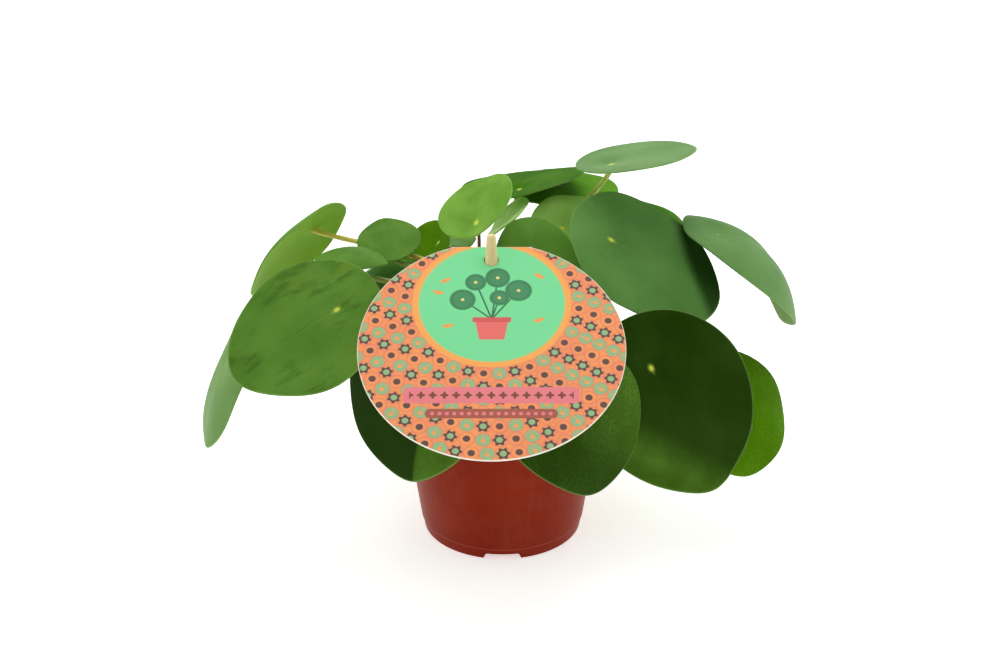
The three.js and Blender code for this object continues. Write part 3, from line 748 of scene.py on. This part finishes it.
def dress(name, mesh, material, slot, *nodes, sharp=None):
    """Puts a finished mesh in the scene as a piece of the plant."""
    mesh.polygons.foreach_set("use_smooth", [True] * len(mesh.polygons))
    if sharp is not None:
        mesh.set_sharp_from_angle(angle=math.radians(sharp))
    mesh.materials.clear()
    mesh.materials.append(material)
    mesh.update()
    piece = bpy.data.objects.new(name, mesh)
    bpy.context.scene.collection.objects.link(piece)
    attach(piece, "root")
    if nodes:
        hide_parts(*nodes)
    return piece


def keep_on_points(mesh, name, kind, values):
    """Keeps a value for each point of the mesh, for its material."""
    layer = mesh.attributes.new(name, kind, "POINT")
    layer.data.foreach_set("vector" if kind == "FLOAT_VECTOR" else "value", np.asarray(values, float).ravel())


def rings_to_faces(rings, sides):
    """Quads between neighbouring rings of points."""
    faces = []
    for i in range(rings - 1):
        for j in range(sides):
            k = (j + 1) % sides
            faces.append((i * sides + j, i * sides + k, (i + 1) * sides + k, (i + 1) * sides + j))
    return faces


def closed_rings(name, rings, material, slot, *nodes, ends=None, flip=False):
    """A piece lofted over rings of points and closed with a point at either end."""
    count, sides = rings.shape[:2]
    if ends is None:
        ends = [rings[0].mean(0), rings[-1].mean(0)]
    points = np.concatenate([rings.reshape(-1, 3), ends])
    first, last = count * sides, count * sides + 1
    faces = rings_to_faces(count, sides)
    for j in range(sides):
        k = (j + 1) % sides
        faces.append((first, k, j))
        faces.append((last, (count - 1) * sides + j, (count - 1) * sides + k))
    if flip:
        faces = [face[::-1] for face in faces]
    return add_piece(name, points, faces, material, slot, *nodes)


def turned_rings(profile, sides):
    """Rings of points for a profile of radii and heights."""
    bearing = np.arange(sides) * TURN / sides
    radius, height = np.asarray(profile, float).T
    return np.stack([
        radius[:, None] * np.cos(bearing),
        radius[:, None] * np.sin(bearing),
        np.repeat(height[:, None], sides, 1),
    ], axis=2)


def soften(profile, radius, steps=4):
    """A profile with its inner corners rounded off, by the radius or as far as the sides allow."""
    corners = [np.asarray(p, float) for p in profile]
    made = [corners[0]]
    for before, corner, after in zip(corners, corners[1:], corners[2:]):
        back, on = before - corner, after - corner
        reach = min(radius, np.linalg.norm(back) / 2.2, np.linalg.norm(on) / 2.2)
        start = corner + back / np.linalg.norm(back) * reach
        end = corner + on / np.linalg.norm(on) * reach
        for i in range(steps + 1):
            t = i / steps
            made.append(start * (1 - t) ** 2 + corner * 2 * t * (1 - t) + end * t ** 2)
    return made + [corners[-1]]


# Pot: a tapered shell on a low foot ring, with a rim, notches in the foot and drain holes
def pot_radius(z):
    return POT_BASE_RADIUS + POT_TAPER * z


def carve(mesh, cutters):
    """Cuts the cutters out of a mesh, and returns what is left."""
    scene = bpy.context.scene
    body = bpy.data.objects.new("carved", mesh)
    scene.collection.objects.link(body)
    tool_mesh = bpy.data.meshes.new("cutters")
    cutters.to_mesh(tool_mesh)
    tool = bpy.data.objects.new("cutters", tool_mesh)
    scene.collection.objects.link(tool)
    cut = body.modifiers.new("cut", "BOOLEAN")
    cut.operation = "DIFFERENCE"
    cut.solver = "EXACT"
    cut.object = tool
    bpy.context.view_layer.update()
    graph = bpy.context.evaluated_depsgraph_get()
    left = bpy.data.meshes.new_from_object(body.evaluated_get(graph))
    bpy.data.objects.remove(body)
    bpy.data.objects.remove(tool)
    return left


def add_prism(cutters, outline, low, high, turn):
    """Adds a prism to the cutters, from its outline and ends and the matrix that puts it in place."""
    rings = [[cutters.verts.new(turn @ Vector((x, y, end)) * MM) for x, y in outline]
             for end in (low, high)]
    count = len(outline)
    for j in range(count):
        k = (j + 1) % count
        cutters.faces.new([rings[0][j], rings[0][k], rings[1][k], rings[1][j]])
    cutters.faces.new(rings[0][::-1])
    cutters.faces.new(rings[1])


def make_pot():
    def inner(z):
        return pot_radius(z) - POT_WALL

    floor_top = FOOT_HEIGHT + POT_WALL
    profile = [
        (0.01, FOOT_HEIGHT),
        (POT_BASE_RADIUS - FOOT_WIDTH, FOOT_HEIGHT),
        (POT_BASE_RADIUS - FOOT_WIDTH, 0),
        (POT_BASE_RADIUS - LEDGE_STEP, 0),
        (pot_radius(LEDGE_Z) - LEDGE_STEP, LEDGE_Z),
        (pot_radius(LEDGE_Z + LEDGE_STEP), LEDGE_Z + LEDGE_STEP),
        (pot_radius(RIM_Z), RIM_Z),
        (pot_radius(RIM_Z) + RIM_STEP, RIM_Z + RIM_CHAMFER),
        (pot_radius(POT_HEIGHT) + RIM_STEP, POT_HEIGHT - RIM_CHAMFER),
        (pot_radius(POT_HEIGHT) + RIM_STEP - RIM_CHAMFER, POT_HEIGHT),
        (inner(POT_HEIGHT) + RIM_CHAMFER / 2, POT_HEIGHT),
        (inner(POT_HEIGHT), POT_HEIGHT - RIM_CHAMFER / 2),
        (inner(floor_top), floor_top),
        (0.01, floor_top),
    ]
    rings = turned_rings(soften(profile, POT_ROUNDING), POT_SIDES)
    count = len(rings)
    points = rings.reshape(-1, 3)
    faces = rings_to_faces(count, POT_SIDES)
    faces.append(tuple(range(POT_SIDES))[::-1])
    faces.append(tuple((count - 1) * POT_SIDES + j for j in range(POT_SIDES)))
    mesh = bpy.data.meshes.new("pot")
    mesh.from_pydata((points * MM).tolist(), [], faces)

    cutters = bmesh.new()
    top, bottom = NOTCH_TOP / 2, NOTCH_BOTTOM / 2
    corners = [(0, -1), (bottom, -1), (top, FOOT_HEIGHT), (-top, FOOT_HEIGHT), (-bottom, -1), (0, -1)]
    notch = soften(corners, NOTCH_CORNER, 5)[:-1]
    for i in range(NOTCH_COUNT):
        lay = Matrix.Rotation(TURN * i / NOTCH_COUNT, 4, "Z") @ Matrix.Rotation(math.pi / 2, 4, "X")
        add_prism(cutters, notch, POT_BASE_RADIUS - FOOT_WIDTH - 3, POT_BASE_RADIUS + 5, lay)
    around = [TURN * j / 32 for j in range(32)]
    hole = [(DRAIN_RADIUS * math.cos(t), DRAIN_RADIUS * math.sin(t)) for t in around]
    out = Matrix.Translation((DRAIN_RING, 0, 0))
    for i in range(DRAIN_COUNT):
        spot = Matrix.Rotation(TURN * (i + 0.5) / DRAIN_COUNT, 4, "Z") @ out
        add_prism(cutters, hole, 1, floor_top + 1, spot)
    bmesh.ops.recalc_face_normals(cutters, faces=cutters.faces)
    dress("pot_shell", carve(mesh, cutters), make_pot_material(), "pot", "pot", sharp=35)


# Soil: a rough fill with crumbs and pale grains on top
def soil_height(x, y):
    wave = np.sin(0.31 * x + 0.9) * np.cos(0.27 * y) + 0.6 * np.sin(0.55 * y - 0.37 * x)
    return SOIL_Z + SOIL_RELIEF * wave


def add_lumps(name, material, count, sizes, dice, flat):
    """Many small lumps, half sunk in the soil's top."""
    ball = bmesh.new()
    bmesh.ops.create_icosphere(ball, subdivisions=2, radius=1)
    shape = np.array([v.co for v in ball.verts])
    corners = np.array([[v.index for v in f.verts] for f in ball.faces])
    ball.free()
    points, faces = [], []
    reach = pot_radius(SOIL_Z) - POT_WALL - 3
    for _ in range(count):
        radius = dice.uniform(*sizes)
        far, bearing = reach * math.sqrt(dice.random()), dice.uniform(0, TURN)
        x, y = far * math.cos(bearing), far * math.sin(bearing)
        swell = np.array([dice.uniform(2, 5) for _ in range(3)])
        bumps = 1 + 0.28 * np.sin(shape @ swell + dice.uniform(0, TURN))
        amount = dice.uniform(0, TURN)
        axis = Vector([dice.uniform(-1, 1) for _ in range(3)])
        spin = np.array(Matrix.Rotation(amount, 3, axis))
        lump = (shape * bumps[:, None] * [1, dice.uniform(0.6, 1), dice.uniform(*flat)]) @ spin.T * radius
        faces += (corners + len(points) * len(shape)).tolist()
        points.append(lump + [x, y, float(soil_height(x, y)) + radius * 0.25])
    add_piece(name, np.concatenate(points), faces, material, "soil")


def make_soil():
    dice = random.Random(5)
    dark = make_soil_material("potting mix", "1f1610", "4a3526", 260)
    pale = make_soil_material("pale grains", "b9b2a4", "e8e4da", 320)
    ends = (FOOT_HEIGHT + POT_WALL + SOIL_GAP, SOIL_Z - SOIL_EDGE_DROP)
    inner = [pot_radius(z) - POT_WALL - SOIL_GAP for z in ends]
    sides = 120
    profile = [(0.01, ends[0]), (inner[0], ends[0]), (inner[1], ends[1])]
    rings = [turned_rings(profile, sides)]
    bearing = np.arange(sides) * TURN / sides
    rough = np.random.default_rng(8)
    for k in range(40, 0, -1):
        radius = (inner[1] - 0.3) * k / 40
        x, y = radius * np.cos(bearing), radius * np.sin(bearing)
        z = soil_height(x, y) + rough.normal(0, SOIL_ROUGHNESS, sides) * min(1, k / 6)
        rings.append(np.stack([x, y, z], axis=1)[None])
    closed_rings("soil_fill", np.concatenate(rings), dark, "soil", "soil")
    add_lumps("soil_crumbs", dark, CRUMBS, (0.5, 2.1), dice, (0.5, 1))
    add_lumps("soil_grains", pale, GRAINS, (0.6, 1.4), dice, (0.6, 1))


# Stem: short and woody, with the scars of old leaves round it
def stem_at(z):
    """The stem's middle and radius at a height."""
    part = (z - STEM_FOOT[2]) / (STEM_TOP[2] - STEM_FOOT[2])
    bend = max(0, (z - SOIL_Z) / (STEM_TOP[2] - SOIL_Z))
    x, y = (STEM_FOOT[i] + (STEM_TOP[i] - STEM_FOOT[i]) * bend for i in (0, 1))
    return np.array([x, y, z], float), STEM_RADII[0] + (STEM_RADII[1] - STEM_RADII[0]) * part


def make_stem():
    sides, steps = 72, 150
    bearing = np.arange(sides) * TURN / sides
    heights = [STEM_FOOT[2] + (STEM_TOP[2] - STEM_FOOT[2]) * i / steps for i in range(steps + 1)]
    shrink = [1.0] * len(heights)
    for rise, share in STEM_CROWN:
        heights.append(STEM_TOP[2] + rise)
        shrink.append(share)
    rings = []
    for z, share in zip(heights, shrink):
        middle, radius = stem_at(min(z, STEM_TOP[2]))
        swell = np.zeros(sides)
        for i in range(SCARS):
            height = SOIL_Z - 4 + i * (STEM_TOP[2] + 2 - SOIL_Z) / SCARS
            aside = (bearing - i * GOLDEN_ANGLE + math.pi) % TURN - math.pi
            far = np.hypot(aside * radius / SCAR_SIZE[0], (z - height) / SCAR_SIZE[1])
            swell += SCAR_RIM * np.exp(-((far - 0.8) / 0.42) ** 2) - SCAR_DIP * np.exp(-(far / 0.45) ** 2)
        swell = np.minimum(swell, SCAR_LIMIT)
        ring = (radius * share + swell * share)[:, None] * np.stack([np.cos(bearing), np.sin(bearing)], 1)
        rings.append(np.column_stack([ring + middle[:2], np.full(sides, z)]))
    closed_rings("stem_bark", np.array(rings), make_bark_material(), "stem", "stem")


# Peg: a round stick, pointed in the soil and tapered above the card
def make_peg():
    profile = [
        (0.3, PEG_BOTTOM_Z),
        (PEG_POINT_RADIUS, PEG_BOTTOM_Z + 0.5),
        (PEG_RADIUS, PEG_BOTTOM_Z + PEG_POINT_LENGTH),
        (PEG_RADIUS, PEG_TAPER_Z),
        (PEG_TIP_RADIUS, PEG_TOP_Z - PEG_CHAMFER),
        (PEG_TIP_RADIUS - PEG_CHAMFER, PEG_TOP_Z),
        (0.3, PEG_TOP_Z),
    ]
    rings = turned_rings(soften(profile, PEG_ROUNDING, 5), 48)
    rings += [*PEG_PLACE, 0]
    closed_rings("peg_stick", rings, make_peg_material(), "peg", "peg")


# Leaves

def blade_frame(face, turn):
    """Directions of a blade: u from the hub to the tip, v across, w up through the face."""
    compass, rise = np.radians(face)
    out = np.array([math.sin(compass), -math.cos(compass)])
    w = np.array([*(out * math.cos(rise)), math.sin(rise)])
    downhill = np.array([*(out * math.sin(rise)), -math.cos(rise)])
    across = np.cross(w, downhill)
    swing = math.radians(turn)
    u = downhill * math.cos(swing) + across * math.sin(swing)
    return u, np.cross(w, u), w


def vein_trough(leaf, u, v, share):
    """How deep the main veins lie in the blade, from none to one."""
    length, width = leaf["size"][:2]
    along, across = u / (length / 2), v / (width / 2)
    reach = np.hypot(along, across)
    bearing = np.arctan2(across, along)
    fan = (bearing + np.sin(bearing) * reach * VEIN_BEND) * VEIN_COUNT / TURN
    aside = np.abs(fan - np.round(fan)) * reach * TURN / VEIN_COUNT
    ribs = np.exp(-(aside / 0.05) ** 2) * np.clip(1.1 - share, 0, 1) * np.clip(share * 6, 0, 1)
    midrib = np.exp(-(across / 0.055) ** 2) * np.clip(along * 6, 0, 1) * np.clip(1.5 - along, 0, 1)
    return np.maximum(ribs * 0.6, midrib)


def blade_surface(leaf, angle, share):
    """The blade's middle surface at angles round the hub and shares of the way to the edge, with u and v."""
    length, width, shift = (*leaf["size"], HUB_SHIFT)[:3]
    cup, fold, wave, pointed = (*leaf["form"], 0)[:4]
    u_way, v_way, w_way = leaf["frame"]
    phase = leaf["hub"][0] + leaf["hub"][2]
    tip = 1 + pointed * np.exp(-((np.sin(angle / 2) / TIP_WIDTH) ** 2))
    uneven = 1 + EDGE_WAVE * np.sin(5 * angle + phase * 1.3) * share ** 2
    u = uneven * share * tip * length * (shift + 0.5 * np.cos(angle))
    v = uneven * share * width * 0.5 * np.sin(angle) * (1 - TIP_NARROWING * np.cos(angle))
    along = (u - shift * length) / (length / 2)
    side = v / (width / 2)
    ripple = EDGE_WAVE * width * np.sin(3 * angle + phase * 0.7) * np.cos(4 * share + phase)
    height = (
        DIMPLE_DEPTH * (1 - np.exp(-(u * u + v * v) / DIMPLE_RADIUS ** 2))
        - cup * (along * along + side * side - (2 * shift) ** 2)
        + fold * (np.sqrt(side * side + FOLD_SOFTNESS) - math.sqrt(FOLD_SOFTNESS))
        + wave * share ** 3 * np.sin(5 * angle + phase)
        + ripple * share ** 2
    )
    spread = u[..., None] * u_way + v[..., None] * v_way
    return np.array(leaf["hub"], float) + spread + height[..., None] * w_way, u, v


def make_blade(leaf, number):
    near = 0.004  # how far the neighbouring points are that give the surface's slope
    half = BLADE_THICKNESS / 2
    angle = np.arange(BLADE_SIDES)[None, :] * TURN / BLADE_SIDES
    _, edge_u, edge_v = blade_surface(leaf, angle, np.ones_like(angle))
    edge_reach = np.hypot(edge_u, edge_v)
    inner = 1 - half / edge_reach

    rings, kept_place, kept_face = [], [], []
    count = BLADE_RINGS
    profile = [((k / count) ** 1.1, 1.0, 0.0) for k in range(1, count + 1)]
    profile += [(1.0, math.cos(t), math.sin(t)) for t in np.radians([30, 60, 90, 120, 150])]
    profile += [((k / count) ** 1.1, -1.0, 0.0) for k in range(count, 0, -1)]
    length, width = leaf["size"][:2]
    for share, up, out in profile:
        here = share * inner + out * (1 - inner)
        middle, u, v = blade_surface(leaf, angle, here)
        beyond = blade_surface(leaf, angle, here + near)[0]
        beside = blade_surface(leaf, angle + near, here)[0]
        normal = np.cross(beyond - middle, beside - middle)
        normal /= np.linalg.norm(normal, axis=-1, keepdims=True)
        trough = vein_trough(leaf, u, v, here) * (abs(up) == 1)
        lift = half * up - trough * (UPPER_TROUGH if up > 0 else UNDER_TROUGH)
        rings.append((middle + normal * lift[..., None])[0])
        kept_place.append(np.stack([u / (length / 2), v / (width / 2), here * np.ones_like(u)], -1)[0])
        kept_face.append(np.full(BLADE_SIDES, up))
    middle = blade_surface(leaf, np.zeros((1, 1)), np.zeros((1, 1)))[0][0, 0]
    ends = [middle + leaf["frame"][2] * half, middle - leaf["frame"][2] * half]
    name = leaf["name"]
    material = make_blade_material(name, leaf["shade"], length / 2, number * 3.7)
    piece = closed_rings("leaf_" + name, np.array(rings), material, "leaf", "blade_" + name,
                         ends=ends, flip=True)
    flat_place = np.concatenate([np.array(kept_place).reshape(-1, 3), [[0, 0, 0], [0, 0, 0]]])
    keep_on_points(piece.data, "blade_place", "FLOAT_VECTOR", flat_place)
    keep_on_points(piece.data, "blade_face", "FLOAT", np.concatenate([np.array(kept_face).ravel(), [1, -1]]))


def stalk_line(leaf):
    """Points along the stalk, from inside the stem to the blade's underside."""
    u, _, w = leaf["frame"]
    length, _, shift = (*leaf["size"], HUB_SHIFT)[:3]
    square = w - u * 8 * leaf["form"][0] * shift / length
    square /= np.linalg.norm(square)
    hub = np.array(leaf["hub"], float) - square * (BLADE_THICKNESS / 2 + GAP)
    sway = np.array(leaf["sway"], float)
    middle, radius = stem_at(leaf["from"])
    out = (hub + sway - middle) * [1, 1, 0]
    out /= np.linalg.norm(out)
    rise = math.radians(STALK_RISE)
    start = middle + out * (radius + GAP + STALK_FOOT_RADIUS * math.sin(rise))
    reach = np.linalg.norm(start - hub)
    away = out * math.cos(rise) + np.array([0, 0, math.sin(rise)])
    first = start + away * STALK_FOOT_LEAD * reach + sway
    second = hub - w * STALK_HUB_LEAD * reach + sway
    t = np.linspace(0, 1, STALK_STEPS)[:, None]
    bow = start * (1 - t) ** 3 + 3 * first * t * (1 - t) ** 2 + 3 * second * t ** 2 * (1 - t) + hub * t ** 3
    inside = bow[0] - away * STALK_INTO_STEM
    return np.concatenate([[inside], bow, [hub + square * (GAP + STALK_INTO_BLADE)]])


def make_stalk(leaf, number):
    path = stalk_line(leaf)
    step = np.gradient(path, axis=0)
    step /= np.linalg.norm(step, axis=1, keepdims=True)
    side = np.cross(step[0], [0, 0, 1.0])
    side /= np.linalg.norm(side)
    lengths = np.concatenate([[0], np.cumsum(np.linalg.norm(np.diff(path, axis=0), axis=1))])
    part = lengths / lengths[-1]
    bearing = np.arange(STALK_SIDES) * TURN / STALK_SIDES
    rings = []
    for i, (spot, way) in enumerate(zip(path, step)):
        side = side - way * (side @ way)
        side /= np.linalg.norm(side)
        other = np.cross(way, side)
        radius = STALK_FOOT_RADIUS + (STALK_HUB_RADIUS - STALK_FOOT_RADIUS) * part[i]
        ends = ((STALK_FOOT_SWELL, lengths[i]), (STALK_HUB_SWELL, lengths[-1] - lengths[i]))
        for (swell, reach), far in ends:
            radius += swell * math.exp(-far / reach)
        radius *= 1 + STALK_WAVER * math.sin(lengths[i] * 0.55 + number * 2)
        if i == len(path) - 1:
            radius *= 0.8
        if leaf["stalk_shade"] == "russet":
            radius *= YOUNG_STALK
        ring = np.cos(bearing)[:, None] * side + np.sin(bearing)[:, None] * other
        flute = 1 + STALK_FLUTE * np.cos(3 * bearing + 0.03 * lengths[i])
        rings.append(spot + radius * flute[:, None] * ring)
    name = leaf["name"]
    material = make_stalk_material(name, leaf["stalk_shade"], number * 5.1)
    piece = closed_rings("petiole_" + name, np.array(rings), material, "stalk", "stalk_" + name)
    count = len(path)
    places = np.zeros((count * STALK_SIDES + 2, 3))
    places[:-2, 0] = np.repeat(part, STALK_SIDES)
    places[:-2, 1] = np.tile(bearing / TURN, count)
    places[-1, 0] = 1
    keep_on_points(piece.data, "stalk_place", "FLOAT_VECTOR", places)


def make_leaves():
    labels = ("name", "hub", "face", "turn", "size", "form", "from", "shade", "stalk_shade", "sway")
    for number, row in enumerate(LEAVES):
        leaf = PLAIN_STALK | dict(zip(labels, row))
        leaf["frame"] = blade_frame(leaf["face"], leaf["turn"])
        make_blade(leaf, number)
        make_stalk(leaf, number)


# Card: the part's own solid, printed
def make_card():
    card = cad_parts["card"]
    card.data.materials.clear()
    card.data.materials.append(make_card_material())


# Stage

def add_light(name, spot, aim, size, power):
    data = bpy.data.lights.new(name, "AREA")
    data.shape = "DISK"
    data.size = size
    data.energy = power
    lamp = bpy.data.objects.new(name, data)
    lamp.location = spot
    lamp.rotation_mode = "QUATERNION"
    lamp.rotation_quaternion = (Vector(aim) - Vector(spot)).to_track_quat("-Z", "Y")
    bpy.context.scene.collection.objects.link(lamp)


def set_stage():
    scene = bpy.context.scene
    scene.view_settings.view_transform = "Standard"
    data = bpy.data.cameras.new("camera")
    data.lens = CAMERA_LENS
    data.sensor_width = CAMERA_SENSOR
    data.clip_start = 0.01
    camera = bpy.data.objects.new("camera", data)
    camera.location = CAMERA_PLACE
    camera.rotation_euler = (math.radians(90 - CAMERA_PITCH), 0, 0)
    scene.collection.objects.link(camera)
    scene.camera = camera

    world = bpy.data.worlds.new("studio")
    world.use_nodes = True
    background = world.node_tree.nodes["Background"]
    background.inputs["Color"].default_value = (1, 1, 1, 1)
    tree = world.node_tree
    x, y, _ = parts_of(tree, out_of(tree, place(tree, "TexCoord"), "Generated"))
    glow = y.ease(-0.9, 0.6, 0.12, 0.72) + x.size().ease(0.6, 1, 0, 1.25)
    seen = out_of(tree, place(tree, "LightPath"), "Is Camera Ray")
    join(tree, glow.calc("MAXIMUM", seen), background.inputs["Strength"])
    scene.world = world

    material = start_material(
        "pale floor", colour=(0.92, 0.92, 0.92, 1), roughness=0.9, shine=0.1, glow=(1, 1, 1, 1),
        glow_strength=0.6)[0]
    mesh = bpy.data.meshes.new("floor")
    sheet = bmesh.new()
    bmesh.ops.create_circle(sheet, cap_ends=True, segments=96, radius=6)
    sheet.to_mesh(mesh)
    sheet.free()
    mesh.materials.append(material)
    floor = bpy.data.objects.new("floor", mesh)
    scene.collection.objects.link(floor)

    add_light("overhead", (0.1, 0.2, 1.3), (0, 0, 0.1), 1.2, 9)
    add_light("front", (-0.5, -1.2, 0.9), (0, 0, 0.1), 0.8, 0.4)


set_stage()
make_pot()
make_soil()
make_stem()
make_peg()
make_card()
make_leaves()
